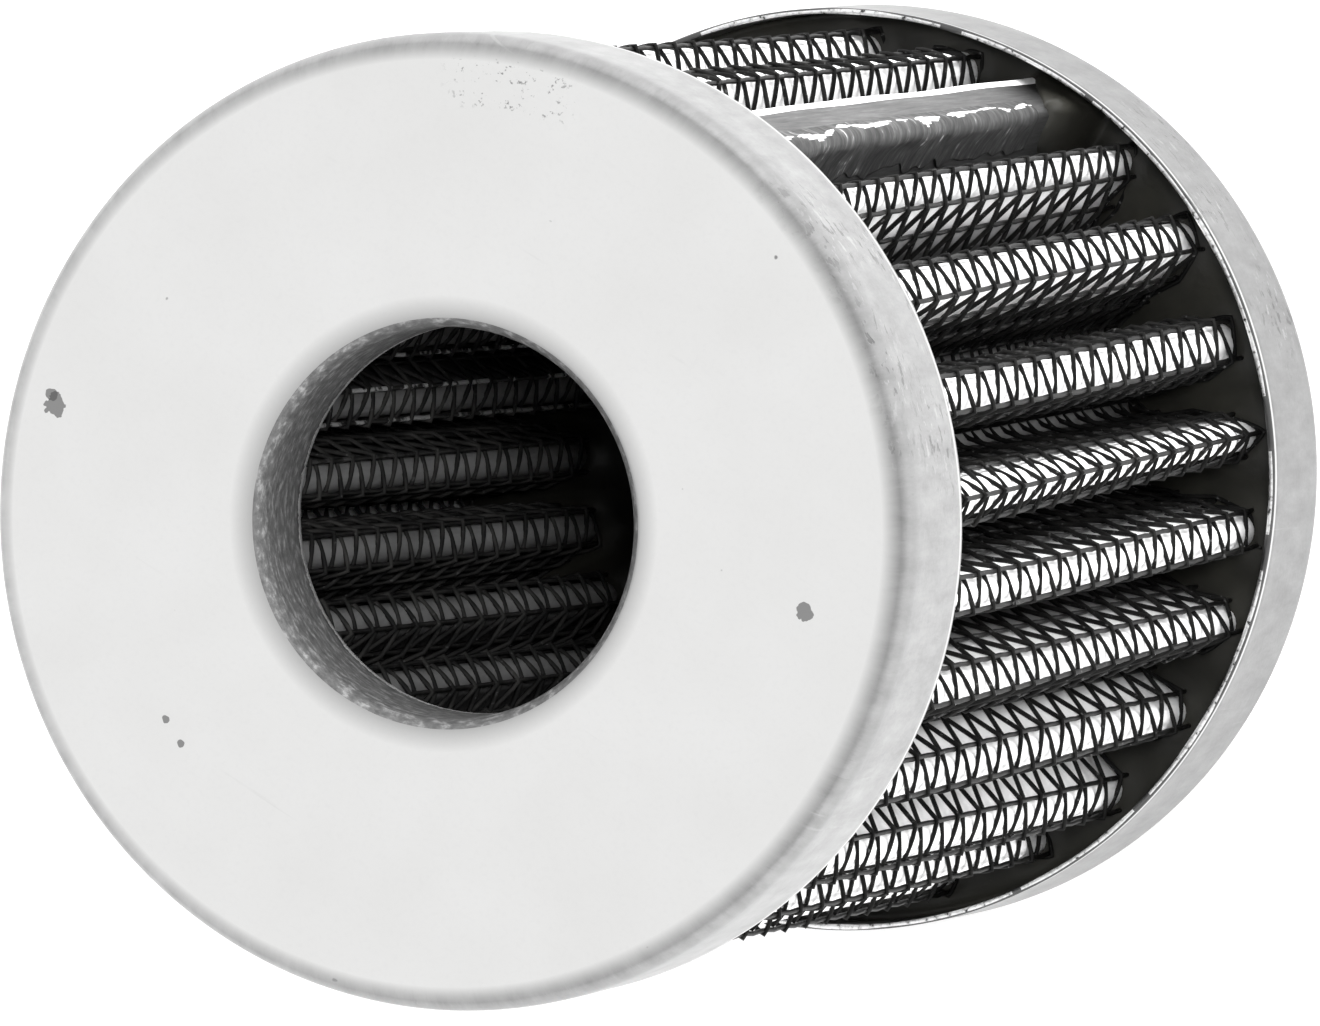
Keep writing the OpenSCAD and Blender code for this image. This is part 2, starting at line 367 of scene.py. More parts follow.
def cap_material(name, front, scuffed, face_marks):
    """Tinned steel sheet: satin, faintly cloudy, scuffed at one side of its rim, with painted shade on
    its rim and bends and painted highlights at the rim's free end.
    """
    material, tree, shader = new_material(name, Metallic=1.0)
    angle, radius, height = cylindrical(tree)
    depth = maths(tree, "SUBTRACT", LENGTH * MM, height) if front else height
    cloud = noise(tree, place(tree), 0.16, 4.0, 0.6)
    grain = noise(tree, place(tree), 3.5, 3.0, 0.6)
    tone = ramp(tree, cloud, [(0.3, grey(0.69, (1, 0.998, 0.99))), (0.7, grey(0.72, (1, 1, 0.995)))])
    tone = mix(tree, times(tree, remap(tree, grain, 0.5, 0.7), 0.15), tone, grey(0.62))

    # The bend into the bore, darkened as painted shade
    bore_bend_shade = remap(tree, radius, (BORE_R + 1.5) * MM, (BORE_R + 0.4) * MM, 0.0, 0.6)
    tone = mix(tree, bore_bend_shade, tone, grey(0.22))

    # The rim is painted darker than the face as painted shade, a little more so at the rear, and is a
    # little rougher
    on_rim = remap(tree, radius, (OUTER_R - 1.2) * MM, (OUTER_R - 0.45) * MM)
    rim_grain = noise(tree, round_place(tree, 1.0, 0.35), 0.9, 5.0, 0.7)
    fine_grain = noise(tree, round_place(tree, 1.0, 0.3), 2.4, 4.0, 0.7)
    level = 1.0 if front else 0.84
    rim_shaded_tone = ramp(tree, rim_grain, [(0.3, 0.22 * level), (0.5, 0.27 * level), (0.7, 0.32 * level)])
    rim_shaded_tone = mix(tree, remap(tree, fine_grain, 0.58, 0.66, 0.0, 0.35), rim_shaded_tone, grey(0.20))
    tone = mix(tree, on_rim, tone, rim_shaded_tone)
    # Painted shade along the rim where it bends away from the corner
    corner_bend_shade = band(tree, depth, CORNER_R - 0.5, CORNER_R + 0.1, 0.5)
    tone = mix(tree, times(tree, corner_bend_shade, on_rim, 0.25), tone, grey(0.2))

    # Its free end: a painted highlight on the lip, a dark line of painted shade and a cut painted bright
    # as a highlight, with dark specks
    lip = band(tree, depth, RIM_H - 0.42, RIM_H - 0.25, 0.08)
    tone = mix(tree, times(tree, lip, on_rim), tone, grey(0.55))
    edge_shade_line = band(tree, depth, RIM_H - 0.19, RIM_H - 0.07, 0.04)
    tone = mix(tree, times(tree, edge_shade_line, on_rim, 0.85), tone, grey(0.08))
    speckled = noise(tree, place(tree), 3.5, 2.0, 0.6)
    cut_highlight_tone = ramp(tree, speckled, [(0.45, 0.92), (0.60, 0.65), (0.68, 0.06)])
    cut = times(tree, on_rim, maths(tree, "GREATER_THAN", depth, (RIM_H - 0.06) * MM))
    tone = mix(tree, cut, tone, cut_highlight_tone)

    # Patches of scuffs and dark marks at one side of the rim
    dents = noise(tree, round_place(tree, 0.9, 1.6), 1.1, 3.0, 0.65)
    patchy = remap(tree, noise(tree, place(tree), 0.25, 2.0), 0.42, 0.58)
    worn_side = times(tree, sector(tree, angle, scuffed, 24), on_rim, patchy)
    dark = times(tree, remap(tree, dents, 0.57, 0.62), worn_side)
    light = times(tree, remap(tree, dents, 0.40, 0.36), worn_side)
    tone = mix(tree, times(tree, dark, 0.6), tone, grey(0.07))
    tone = mix(tree, times(tree, light, 0.3), tone, grey(0.62))

    # Few hairlines and specks
    lines = scratches(tree, 2.2, 0.03, (0, 0, 0.9), 0.69, 0.74)
    tone = mix(tree, times(tree, lines, 0.2), tone, grey(0.5))
    spots = noise(tree, place(tree), 1.4, 1.0, 0.4)
    tone = mix(tree, remap(tree, spots, 0.82, 0.85), tone, grey(0.25))
    for x, y, size in face_marks:
        wobble = noise(tree, place(tree), 2.0, 2.0)
        inputs = {0: flat_place(tree), 1: (x * MM, y * MM, 0)}
        away = add(tree, "ShaderNodeVectorMath", inputs, operation="DISTANCE").outputs["Value"]
        away = maths(tree, "SUBTRACT", away, times(tree, wobble, size * 0.9 * MM))
        spot = maths(tree, "LESS_THAN", away, size * 0.12 * MM)
        tone = mix(tree, times(tree, spot, 0.75), tone, grey(0.10))
    if face_marks:
        # A chafed stretch beside the outer edge of the face
        where = times(tree, sector(tree, angle, -69, 10), band(tree, radius, 19.4, 21.3, 0.3))
        flecks = noise(tree, place(tree), 3.2, 3.0, 0.7)
        flecks = times(tree, remap(tree, flecks, 0.60, 0.66), where)
        tone = mix(tree, times(tree, flecks, 0.7), tone, grey(0.12))
    tree.links.new(tone, shader.inputs["Base Color"])
    rough = maths(tree, "ADD", remap(tree, cloud, 0.3, 0.7, 0.28, 0.36), times(tree, on_rim, 0.08))
    tree.links.new(rough, shader.inputs["Roughness"])
    relief = maths(tree, "ADD", times(tree, grain, 0.3), noise(tree, place(tree), 0.4, 3.0))
    relief = maths(tree, "SUBTRACT", relief, times(tree, dark, 0.8))
    bump(tree, shader, relief, 0.05, 0.5)
    return material


def collar_material(name):
    """The drawn collar in the bore: scored, and painted darker and duller than the face as painted shade,
    with a painted highlight along its cut edge.
    """
    material, tree, shader = new_material(name, Metallic=0.3)
    fine = noise(tree, round_place(tree, 0.25, 1.2), 2.6, 4.0, 0.65)
    broad = noise(tree, round_place(tree, 0.35, 0.2), 1.2, 3.0)
    # Painted shade: a dark scored tone for the collar inside the bore
    tone = ramp(tree, fine, [(0.35, 0.08), (0.52, 0.14), (0.66, 0.32)])
    tone = mix(tree, remap(tree, broad, 0.35, 0.7, 0.0, 0.45), tone, grey(0.10))

    # Depth from the nearer face
    _, _, height = cylindrical(tree)
    middle = maths(tree, "SUBTRACT", height, LENGTH / 2 * MM)
    depth = maths(tree, "SUBTRACT", LENGTH / 2 * MM, maths(tree, "ABSOLUTE", middle))
    ragged = times(tree, noise(tree, round_place(tree, 1.0, 0.1), 1.3, 4.0, 0.7), 0.6 * MM)
    # A painted highlight along the collar's cut edge
    cut_edge_highlight = maths(tree, "GREATER_THAN", maths(tree, "ADD", depth, ragged), (COLLAR_H - 0.02) * MM)
    tone = mix(tree, cut_edge_highlight, tone, grey(0.95))
    tree.links.new(tone, shader.inputs["Base Color"])
    tree.links.new(remap(tree, fine, 0.3, 0.7, 0.5, 0.34), shader.inputs["Roughness"])
    bump(tree, shader, fine, 0.08, 0.7)
    return material


def wire_material(name, level, glint_at=None):
    """Dark coated wire with a few greyer stretches, with painted glints round an angle (degrees) when one
    is given.
    """
    material, tree, shader = new_material(name, Roughness=0.45, Specular_IOR_Level=0.10)
    worn = noise(tree, place(tree), 0.5, 3.0, 0.6)
    fine = noise(tree, place(tree), 4.0, 2.0)
    tone = ramp(tree, worn, [(0.42, grey(level)), (0.72, grey(level * 3, (1, 0.98, 0.94)))])
    tone = mix(tree, remap(tree, fine, 0.66, 0.74, 0.0, 0.5), tone, grey(0.14))
    if glint_at is not None:
        # Painted glints: bright dashes where the wires stand furthest into the bore
        angle, radius, _ = cylindrical(tree)
        inmost = remap(tree, radius, (ROOT_R + 0.75) * MM, (ROOT_R + 0.6) * MM)
        highlight_pattern = remap(tree, noise(tree, place(tree), 0.6, 3.0, 0.6), 0.48, 0.54)
        tone = mix(tree, times(tree, highlight_pattern, inmost, sector(tree, angle, glint_at, 40)), tone, grey(0.95))
    tree.links.new(tone, shader.inputs["Base Color"])
    bump(tree, shader, fine, 0.02, 0.5)
    return material


def media_material():
    """White fibrous sheet on the outer folds, painted dark down in the pleats as painted shade."""
    material, tree, shader = new_material("filter_media_sheet", Roughness=0.95, Specular_IOR_Level=0.1)
    _, radius, _ = cylindrical(tree)
    # Painted shade: the sheet darkens with depth into the pleats, its edge wavered by noise, darkest part
    # way down and greyer again at the inner folds
    shade_edge_noise = noise(tree, place(tree, (1, 1, 0.35)), 0.5, 4.0, 0.6)
    depth = maths(tree, "ADD", times(tree, radius, 1 / MM), times(tree, shade_edge_noise, 0.8))
    share = remap(tree, depth, ROOT_R, CREST_R + 0.4)
    stops = [(0.0, 0.6), (0.10, 0.4), (0.22, 0.05), (0.48, 0.08), (0.60, 0.45), (0.68, 0.9), (0.80, 0.95)]
    tree.links.new(ramp(tree, share, stops), shader.inputs["Base Color"])
    fibre = noise(tree, place(tree), 5.0, 5.0, 0.7, 1.0)
    bump(tree, shader, fibre, 0.06, 0.6)
    return material


def potting_material():
    """Dark cured adhesive, slightly olive, with a smooth half-gloss skin."""
    material, tree, shader = new_material("potting_cured", Roughness=0.4, Specular_IOR_Level=0.3)
    patch = noise(tree, place(tree), 0.35, 3.0)
    tone = ramp(tree, patch, [(0.35, grey(0.014, (1, 0.98, 0.86))), (0.7, grey(0.026, (1, 0.97, 0.80)))])
    tree.links.new(tone, shader.inputs["Base Color"])
    tree.links.new(remap(tree, patch, 0.3, 0.7, 0.32, 0.48), shader.inputs["Roughness"])
    skin = noise(tree, place(tree), 0.9, 3.0, 0.5, 0.4)
    bump(tree, shader, skin, 0.08, 0.5)
    return material


def clip_material():
    """Dull galvanised strip, brushed along its length, painted dark as painted shade."""
    material, tree, shader = new_material("clip_strip", Metallic=0.6)
    brushed = noise(tree, place(tree, (1, 1, 0.06)), 5.0, 4.0, 0.65)
    patch = noise(tree, place(tree, (1, 1, 0.25)), 0.9, 3.0, 0.6)
    # Painted shade: a very dark tone standing in for the dark surroundings mirrored in the strip
    tone = ramp(tree, brushed, [(0.3, 0.04), (0.55, 0.06), (0.75, 0.11)])
    tone = mix(tree, remap(tree, patch, 0.42, 0.62, 0.0, 0.6), tone, grey(0.04))
    tree.links.new(tone, shader.inputs["Base Color"])
    tree.links.new(remap(tree, brushed, 0.3, 0.7, 0.5, 0.38), shader.inputs["Roughness"])
    bump(tree, shader, brushed, 0.04, 0.5)
    return material


def clip_edge_highlight_material():
    """The strip's folded edge, carrying a painted highlight."""
    material, tree, shader = new_material("clip_edge_highlight", Roughness=0.5)
    highlight_pattern = noise(tree, place(tree, (1, 1, 0.2)), 1.6, 3.0)
    tree.links.new(ramp(tree, highlight_pattern, [(0.3, 0.8), (0.6, 0.95)]), shader.inputs["Base Color"])
    return material


def sealant_material(name, levels):
    """Dull grey sealant, drawn out in smears down the strip's side."""
    material, tree, shader = new_material(name, Specular_IOR_Level=0.3)
    smear = noise(tree, place(tree, (0.35, 0.35, 1)), 2.2, 3.0, 0.6)
    tone = ramp(tree, smear, list(zip((0.45, 0.58, 0.66, 0.72), levels)))
    tree.links.new(tone, shader.inputs["Base Color"])
    tree.links.new(remap(tree, smear, 0.3, 0.7, 0.6, 0.4), shader.inputs["Roughness"])
    bump(tree, shader, smear, 0.06, 0.5)
    return material


# Marks on the front face: place and size in millimetres
FACE_MARKS = [(19.11, 5.28, 0.9), (19.5, 5.0, 0.5), (-17.07, -5.77, 0.7), (7.1, 14.9, 0.35),
              (5.9, 15.5, 0.3)]

front_sheet = cap_material("cap_sheet_front", True, -126, FACE_MARKS)
rear_sheet = cap_material("cap_sheet_rear", False, -116, [])
collar_sheet = collar_material("collar_sheet_scored")
outer_wire = wire_material("outer_wire_coated", 0.005)
# The inner wires are painted lighter than the outer ones, as painted light in the dim bore
inner_wire = wire_material("inner_wire_coated", 0.02)
# Lengthwise inner wires with painted glints
inner_straight_glinting = wire_material("inner_wire_glints", 0.02, -15)
media_sheet = media_material()
adhesive = potting_material()
strip = clip_material()
strip_edge_highlight = clip_edge_highlight_material()
sealant = sealant_material("sealant_smeared", (0.018, 0.032, 0.065, 0.4))
sealant_line = sealant_material("sealant_bead_line", (0.9, 0.8, 0.5, 0.3))


# The woven mesh, outside and inside the media

def whole_path(d, steps):
    """Path lengths right round the pack, from the seam's one side to the other."""
    crest, _, half = pleat_lengths(d)
    one = np.concatenate([-steps[:0:-1], steps[:-1]])
    everything = (np.arange(PLEATS + 1)[:, None] * 2 * half + one[None]).ravel()
    inside = (everything > crest * 0.9) & (everything < PLEATS * 2 * half - crest * 0.9)
    return everything[inside]


def from_fold(path, half):
    """Path length from the middle of the nearest outer fold."""
    return np.abs(path - np.floor(path / (2 * half) + 0.5) * 2 * half)


def woven(d, way, names, first, fine, coarse, sides, z_step, cross_wire, straight_wire, node):
    """Ring wires woven over and under the lengthwise wires, way 1 outwards or -1 inwards.

    first gives the place of one lengthwise wire for each fold. Between two crossings a ring wire
    has fine steps where it shows and coarse ones where it doesn't.
    """
    crest, _, half = pleat_lengths(d)
    whole = PLEATS * 2 * half
    anchors = [k * 2 * half + first(k, half) for k in range(PLEATS + 1)]
    places = []
    for a, b in zip(anchors[:-1], anchors[1:]):
        count = round((b - a) / LENGTH_PITCH)
        places.extend(a + (b - a) * i / count for i in range(count))
    places = np.array(places)
    places = places[(places > crest * 1.1) & (places < whole - crest * 1.1)]
    places = places + np.clip(rng.normal(0, 0.03, len(places)), -0.08, 0.08)
    parity = np.where(np.arange(len(places)) % 2, 1, -1)
    z0 = POTTING_TOP - DIP
    z1 = LENGTH - POTTING_TOP + DIP
    rings = np.arange(z0 + 0.3 * RING_PITCH, z1, RING_PITCH)

    def ease(path):
        """How much of the crimp is left in the tight folds and beside the strip."""
        local = from_fold(path, half)
        tight = smoothstep((local - half + 1.3) / 0.9) if way > 0 else smoothstep((1.3 - local) / 0.9)
        held = np.minimum(path, whole - path)
        held = 1 - smoothstep((held - crest - 3.6) / 1.2)
        return (1 - 0.8 * tight) * (1 - 0.9 * held)

    # Between two crossings a ring wire is nearly straight
    path, share, left = [], [], []
    for j in range(len(places) - 1):
        local = from_fold((places[j] + places[j + 1]) / 2, half)
        shows = local < 2.7 if way > 0 else half - local < 2.0
        steps = fine if shows else coarse
        t = np.arange(steps) / steps
        path.append(places[j] + (places[j + 1] - places[j]) * t)
        share.append(t)
        left.append(np.full(steps, j))
    path, share, left = np.concatenate(path), np.concatenate(share), np.concatenate(left)
    swing = CRIMP * ease(path)
    at_wires = CRIMP * ease(places) * parity
    lines = []
    for i, z in enumerate(rings):
        sign = way if i % 2 else -way
        wave = np.cos(share * np.pi) * parity[left]
        x, y = pleat_points(path, d + sign * swing * wave, d)
        x0, y0 = pleat_points(places, d + sign * at_wires, d)
        chord_x = x0[left] + (x0[left + 1] - x0[left]) * share
        chord_y = y0[left] + (y0[left + 1] - y0[left]) * share
        x = x + STRAIGHT * (chord_x - x)
        y = y + STRAIGHT * (chord_y - y)
        lines.append(np.stack([x, y, np.full(len(path), z)], -1))
    lines = warp(np.array(lines), wires=True)
    up = np.array([0, 0, 1.0])
    middle = (len(lines) + 1) // 2
    for name, part in zip(names, (lines[:middle], lines[middle:])):
        verts, faces = tubes(part, up, WIRE_R, sides)
        piece(mesh_object(name, verts, faces, cross_wire), "coated_wire", node)

    # Lengthwise wires, almost straight
    z = np.arange(z0, z1 + 0.01, z_step)
    row = (z - rings[0]) / RING_PITCH
    low = LENGTH_CRIMP * np.cos(row * np.pi)[None] * (parity * ease(places))[:, None]
    x, y = pleat_points(places[:, None] + np.zeros(len(z))[None], d + way * low, d)
    lines = warp(np.stack([x, y, np.broadcast_to(z, x.shape)], -1))
    outward = lines * np.array([1, 1, 0.0])
    verts, faces = tubes(lines, outward, WIRE_R, sides)
    piece(mesh_object(names[2], verts, faces, straight_wire), "coated_wire", node)


drift = rng.uniform(-0.8, 0.8, PLEATS + 1)


def outer_first(k, half):
    """Beside the outer fold, as measured or by chance."""
    return WIRE_AT.get(k, drift[k])


def inner_first(k, half):
    """Half a cell past the inner fold, so that a row of cells lies on it."""
    return half + LENGTH_PITCH / 2 + 0.25 * drift[k]


woven(MESH_D, 1, ["outer_mesh_rings_rear", "outer_mesh_rings_front", "outer_mesh_lengthwise"],
      outer_first, fine=6, coarse=2, sides=5, z_step=0.94, cross_wire=outer_wire,
      straight_wire=outer_wire, node="outer_support_mesh")
woven(-MESH_D, -1, ["inner_mesh_rings_rear", "inner_mesh_rings_front", "inner_mesh_lengthwise"],
      inner_first, fine=4, coarse=2, sides=4, z_step=1.41, cross_wire=inner_wire,
      straight_wire=inner_straight_glinting, node="inner_support_mesh")


def media_sheet_piece():
    """The pleated sheet, a closed skin round both its faces."""
    heights = np.linspace(PACK_Z, LENGTH - PACK_Z, 19)
    loops = []
    for d in (MEDIA_FACE, -MEDIA_FACE):
        half = pleat_lengths(d)[2]
        turn = np.linspace(0, pleat_lengths(d)[0], 6)[:-1]
        side = np.linspace(pleat_lengths(d)[0], pleat_lengths(d)[0] + FLANK, 6)[:-1]
        root = np.linspace(pleat_lengths(d)[0] + FLANK, half, 5)
        steps = np.concatenate([turn, side, root])
        path = whole_path(d, steps)
        x, y = pleat_points(path, np.full(len(path), d), d)
        loops.append(np.stack([x, y], -1))
    outline = np.concatenate([loops[0], loops[1][::-1]])
    count = len(outline)
    verts = np.stack([np.concatenate([outline, np.full((count, 1), z)], 1) for z in heights])
    verts = warp(verts).reshape(-1, 3)
    index = np.arange(len(heights) * count).reshape(len(heights), count)
    a, b = index[:-1], index[1:]
    quads = np.stack([a, np.roll(a, -1, 1), np.roll(b, -1, 1), b], -1).reshape(-1, 4)
    half_count = count // 2
    i = np.arange(half_count - 1)
    strips = []
    for level, flip in ((index[0], True), (index[-1], False)):
        q = np.stack([level[i], level[i + 1], level[count - 2 - i], level[count - 1 - i]], -1)
        strips.append(q[:, ::-1] if flip else q)
    obj = mesh_object("pleated_media", verts, [quads] + strips, media_sheet)
    return piece(obj, "filter_media", "filter_media")


media_sheet_piece()


# The pressed caps

def arc(centre, radius, start, end, steps):
    turn = np.radians(np.linspace(start, end, steps + 1))
    return [(centre[0] + radius * math.cos(t), centre[1] + radius * math.sin(t)) for t in turn]


def line(a, b, steps):
    return [(a[0] + (b[0] - a[0]) * i / steps, a[1] + (b[1] - a[1]) * i / steps) for i in range(1, steps)]


def cap_piece(name, node, front, seed):
    """Lathed sheet with a slightly uneven rim edge, face and collar."""
    local = np.random.default_rng(seed)
    bend = (BORE_R + BORE_BEND_R, BORE_BEND_R)
    corner = (OUTER_R - CORNER_R, CORNER_R)
    outside = line((BORE_R, COLLAR_H + 0.01), (BORE_R, BORE_BEND_R), 6)
    outside = [(BORE_R, COLLAR_H)] + outside
    collar_rows = len(outside) + 6
    outside += arc(bend, BORE_BEND_R, 180, 270, 10)
    outside += line((bend[0], 0), (corner[0], 0), 12)
    outside += arc(corner, CORNER_R, 270, 360, 14)
    outside += line((OUTER_R, CORNER_R), (OUTER_R, RIM_H), 7)
    outside += [(OUTER_R, RIM_H - 0.1), (OUTER_R - 0.1, RIM_H)]
    inside = [(OUTER_R - SHEET + 0.05, RIM_H), (OUTER_R - SHEET, RIM_H - 0.05)]
    inside += line((OUTER_R - SHEET, RIM_H), (OUTER_R - SHEET, CORNER_R), 7)
    inside += arc(corner, CORNER_R - SHEET, 360, 270, 8)
    inside += line((corner[0], SHEET), (bend[0], SHEET), 3)
    inside += arc(bend, BORE_BEND_R - SHEET, 270, 180, 6)
    inside += [(BORE_R + SHEET, COLLAR_H)]
    profile = np.array(outside + inside)
    segments = 300
    angle = np.arange(segments) * 2 * np.pi / segments
    rows = len(profile)
    radius = np.broadcast_to(profile[:, 0][None], (segments, rows)).copy()
    depth = np.broadcast_to(profile[:, 1][None], (segments, rows)).copy()
    wave = np.zeros((segments, 1))
    edge = np.zeros((segments, 1))
    for k in range(2, 12):
        wave[:, 0] += local.normal(0, 1) * np.cos(k * angle + local.uniform(0, 6.28)) / k
    for k in range(3, 40, 3):
        edge[:, 0] += local.normal(0, 1) * np.cos(k * angle + local.uniform(0, 6.28)) / 4
    on_rim = smoothstep((depth - 2.5) / 5) * (radius > BORE_R + 4)
    radius -= on_rim * (0.05 + 0.045 * np.clip(wave, -1, 1))
    depth -= (depth > RIM_H - 0.2) * (0.04 + 0.035 * np.clip(edge, -1, 1))
    on_face = np.exp(-((radius - 15.5) / 4.2) ** 4) * (depth < 0.5)
    depth += on_face * (0.035 + 0.03 * np.clip(wave, -1, 1))
    z = LENGTH - depth if front else depth
    verts = np.stack([radius * np.cos(angle)[:, None], radius * np.sin(angle)[:, None], z], -1)
    index = np.arange(segments * rows).reshape(segments, rows)
    a, b = index, np.roll(index, -1, 0)
    quads = np.stack([a, b, np.roll(b, -1, 1), np.roll(a, -1, 1)], -1)
    if front:
        quads = quads[:, :, ::-1]
    sheet = front_sheet if front else rear_sheet
    obj = mesh_object(name, verts.reshape(-1, 3), [quads.reshape(-1, 4)], sheet)
    obj.data.materials.append(collar_sheet)
    row_of = np.tile(np.arange(rows), segments)
    obj.data.polygons.foreach_set("material_index", (row_of < collar_rows).astype(np.int32))
    return piece(obj, "cap_sheet", node)


cap_piece("front_cap_pressing", "front_end_cap", True, 5)
cap_piece("rear_cap_pressing", "rear_end_cap", False, 9)


# The cured adhesive in both caps

def pack_distance(radii, angles):
    """Distance from the middle of the media, for one pleat's share of the circle."""
    half = pleat_lengths(0)[2]
    path = np.linspace(0, 2 * half, 240)
    x, y = pleat_points(path, np.zeros(len(path)), 0.0)
    grid_x = radii[None, :] * np.cos(angles)[:, None]
    grid_y = radii[None, :] * np.sin(angles)[:, None]
    gap = np.hypot(grid_x[..., None] - x, grid_y[..., None] - y)
    return gap.min(-1)


def potting_piece(name, node, front):
    per_pleat = 22
    segments = per_pleat * PLEATS
    inner = BORE_R + SHEET + SEAT
    outer = OUTER_R - SHEET - SEAT
    radii = np.concatenate([np.linspace(inner, 12.7, 5)[:-1], np.linspace(12.7, outer, 35)])
    angles = SEAM_A + np.arange(segments) * PITCH_A / per_pleat
    one = pack_distance(radii, angles[:per_pleat])
    gap = np.tile(one, (PLEATS, 1))
    height = POTTING_TOP + 0.30 * np.exp(-np.maximum(gap - 0.5, 0) / 0.5)
    height += 0.35 * np.exp(-(outer - radii) / 0.25)[None] + 0.3 * np.exp(-(radii - inner) / 0.3)[None]
    lumps = smooth_field(30, 0.5)
    height += 0.12 * lumps(angles, 0.0)[:, None] * np.ones(len(radii))[None]
    height -= 0.25
    if not front:
        # Adhesive drawn up one side of the strip
        u = radii[None] * np.cos(angles - SEAM_A)[:, None]
        v = radii[None] * np.sin(angles - SEAM_A)[:, None]
        across = smoothstep((v + 3.0) / 1.5) * np.clip((1.25 - v) / 2.6, 0, 1)
        climb = across * smoothstep((u - 16.5) / 3) * (1 - smoothstep((u - 21.35) / 0.45))
        height += 5.2 * climb
    low = 0.4
    count = len(radii)
    turned = angles[:, None] + np.radians(unevenness(angles[:, None], radii[None], LEANS))
    turned = turned + twist(LENGTH - POTTING_TOP if front else POTTING_TOP)
    x = radii[None] * np.cos(turned)
    y = radii[None] * np.sin(turned)
    top = np.stack([x, y, height], -1)
    corner = OUTER_R - CORNER_R
    floor_r = [outer, outer, corner, BORE_R + BORE_BEND_R, inner]
    floor_z = [POTTING_TOP - 1.5, CORNER_R, low, low, BORE_BEND_R]
    under = np.stack([np.array(floor_r)[None] * np.cos(angles)[:, None],
                      np.array(floor_r)[None] * np.sin(angles)[:, None],
                      np.broadcast_to(np.array(floor_z)[None], (segments, len(floor_z)))], -1)
    verts = np.concatenate([top, under], 1)
    if front:
        verts[..., 2] = LENGTH - verts[..., 2]
    rows = verts.shape[1]
    index = np.arange(segments * rows).reshape(segments, rows)
    a, b = index, np.roll(index, -1, 0)
    quads = np.stack([a, np.roll(a, -1, 1), np.roll(b, -1, 1), b], -1)
    if front:
        quads = quads[:, :, ::-1]
    obj = mesh_object(name, verts.reshape(-1, 3), [quads.reshape(-1, 4)], adhesive)
    return piece(obj, "potting_adhesive", node)


potting_piece("front_potting_cast", "front_potting", True)
potting_piece("rear_potting_cast", "rear_potting", False)


# The strip over the seam, and its sealant

def flank_v(d, u):
    return (FOLD_R + d - (u - CREST_C) * math.cos(CREST_TURN)) / math.sin(CREST_TURN)


def strip_outline(d, top, bend, foot, steps):
    """Half outline from the foot to the middle of the crest, as (u, v)."""
    corner = (top - bend, flank_v(d, top - bend) - bend)
    side = [(foot + (top - bend - foot) * i / 5, flank_v(d, foot + (top - bend - foot) * i / 5))
            for i in range(5)]
    round_part = arc(corner, bend, math.degrees(CREST_TURN), 0, steps)
    flat = [(top, corner[1] * (1 - i / 4)) for i in range(1, 5)]
    return side + round_part + flat


def to_pack(u, v, z):
    """Points beside the seam, from distances along and across it."""
    turn = SEAM_A + twist(z)
    return np.stack([u * np.cos(turn) - v * np.sin(turn), u * np.sin(turn) + v * np.cos(turn), z], -1)


def paint_faces(obj, chosen):
    """Give the chosen side faces the second material; the two end faces keep the first."""
    chosen = np.concatenate([chosen, [False, False]]).astype(np.int32)
    obj.data.polygons.foreach_set("material_index", chosen)


def clip_piece():
    """The folded strip: a bent sheet of even thickness over the pack's cut ends."""
    outer = strip_outline(CLIP_IN + CLIP_T, CLIP_TOP, CLIP_BEND_R, CLIP_FOOT, 7)
    inner = strip_outline(CLIP_IN, CLIP_TOP - CLIP_T, CLIP_BEND_R - CLIP_T, CLIP_FOOT, 4)
    half = np.array(outer)
    half_in = np.array(inner)
    loop = np.concatenate([half, half[-2::-1] * [1, -1], half_in * [1, -1], half_in[-2::-1]])
    heights = np.linspace(PACK_Z, LENGTH - PACK_Z, 90)
    wave = smooth_field(2, 5)
    tilt = smooth_field(2, 3)
    u = loop[:, 0][None] + 0.035 * wave(loop[:, 1] * 0.8, heights[:, None])
    v = loop[:, 1][None] * (1 + 0.015 * tilt(np.sign(loop[:, 1]), heights[:, None]))
    verts = to_pack(u, v, np.broadcast_to(heights[:, None], u.shape))
    count = len(loop)
    index = np.arange(len(heights) * count).reshape(len(heights), count)
    a, b = index[:-1], index[1:]
    quads = np.stack([a, np.roll(a, -1, 1), np.roll(b, -1, 1), b], -1).reshape(-1, 4)
    ends = [index[0][::-1][None], index[-1][None]]
    faces = [quads[:, ::-1]] + [e[:, ::-1] for e in ends]
    obj = mesh_object("seam_clip_strip", verts.reshape(-1, 3), faces, strip)
    obj.data.materials.append(strip_edge_highlight)
    # The last steps of the bend towards +v carry the painted highlight
    bend_from, bend_to = 7, 12
    column = np.arange(len(quads)) % count
    highlight_faces = (column >= bend_from) & (column <= bend_to)
    paint_faces(obj, highlight_faces)
    return piece(obj, "clip_sheet", "seam_clip")


